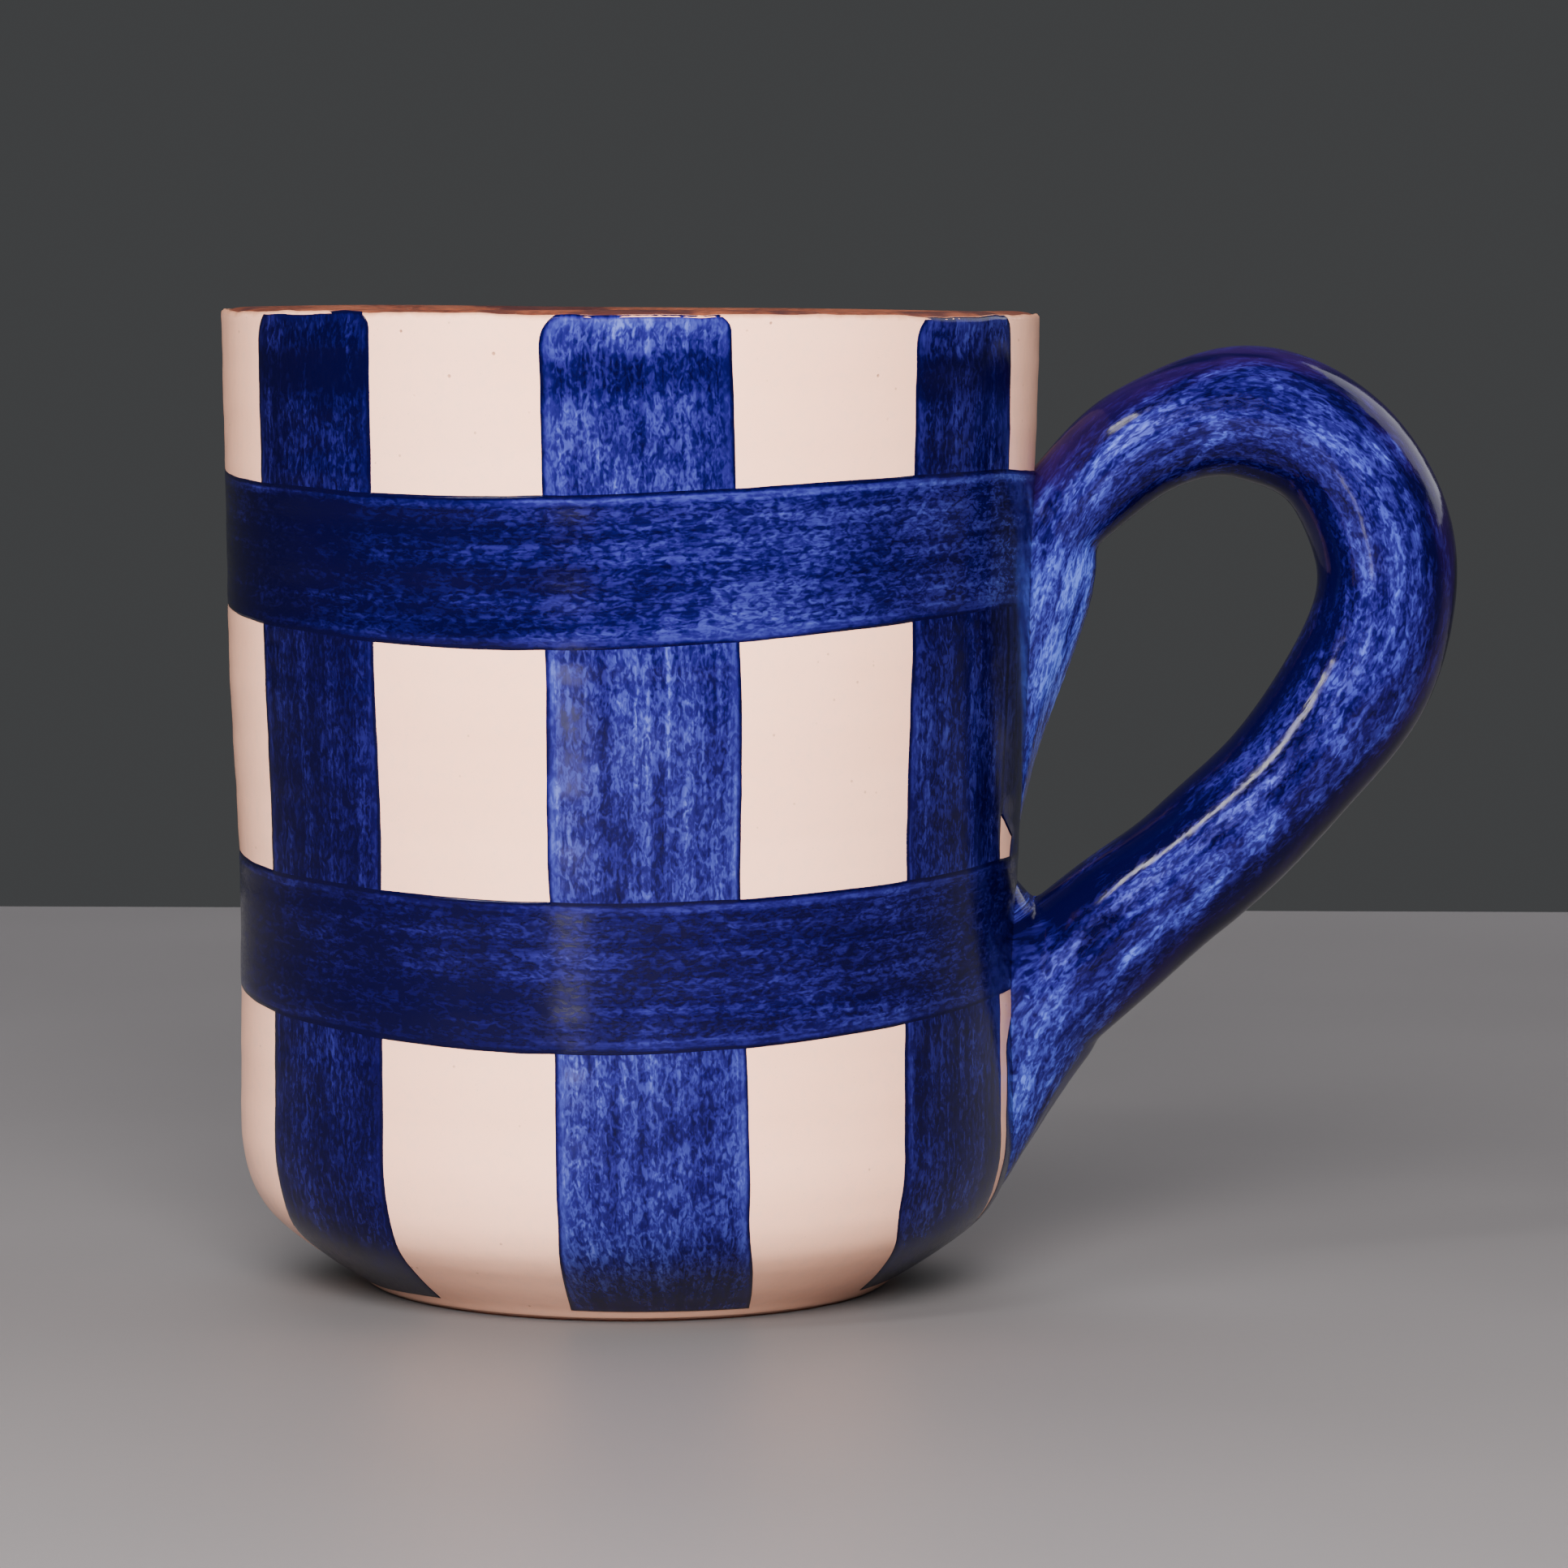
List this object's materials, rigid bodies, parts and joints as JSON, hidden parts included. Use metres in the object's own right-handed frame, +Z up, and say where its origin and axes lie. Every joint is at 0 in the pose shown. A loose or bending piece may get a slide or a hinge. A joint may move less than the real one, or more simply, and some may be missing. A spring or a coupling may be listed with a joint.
{
  "type": "mug",
  "caption": "Thrown earthenware mug with a thick rolled loop handle, cream glaze and a hand-brushed cobalt windowpane check; stands on its flat base",
  "frame": {"origin": "middle of the flat underside, on the body's axis", "axes": "+X from the body's axis towards the handle, +Y across the handle, +Z up the body's axis"},
  "size_m": [0.1267, 0.0831, 0.1],
  "materials": {
    "terracotta_clay": "matte fired red clay, seen at the rim and the foot",
    "handle_clay": "matte fired red clay under the handle glaze",
    "upper_joint_clay": "gloss cobalt over smeared clay",
    "lower_joint_clay": "gloss cobalt over smeared clay",
    "cream_glaze": "gloss cream",
    "lining_glaze": "gloss cream",
    "cobalt_paint": "gloss brushed cobalt",
    "handle_glaze": "gloss brushed cobalt"
  },
  "bodies": {
    "root": {"clay_body": "terracotta_clay", "handle": "handle_clay", "handle_upper_joint": "upper_joint_clay", "handle_lower_joint": "lower_joint_clay", "outer_glaze": "cream_glaze", "inner_glaze": "lining_glaze", "painted_check": "cobalt_paint", "handle_glaze": "handle_glaze"}
  },
  "joints": []
}
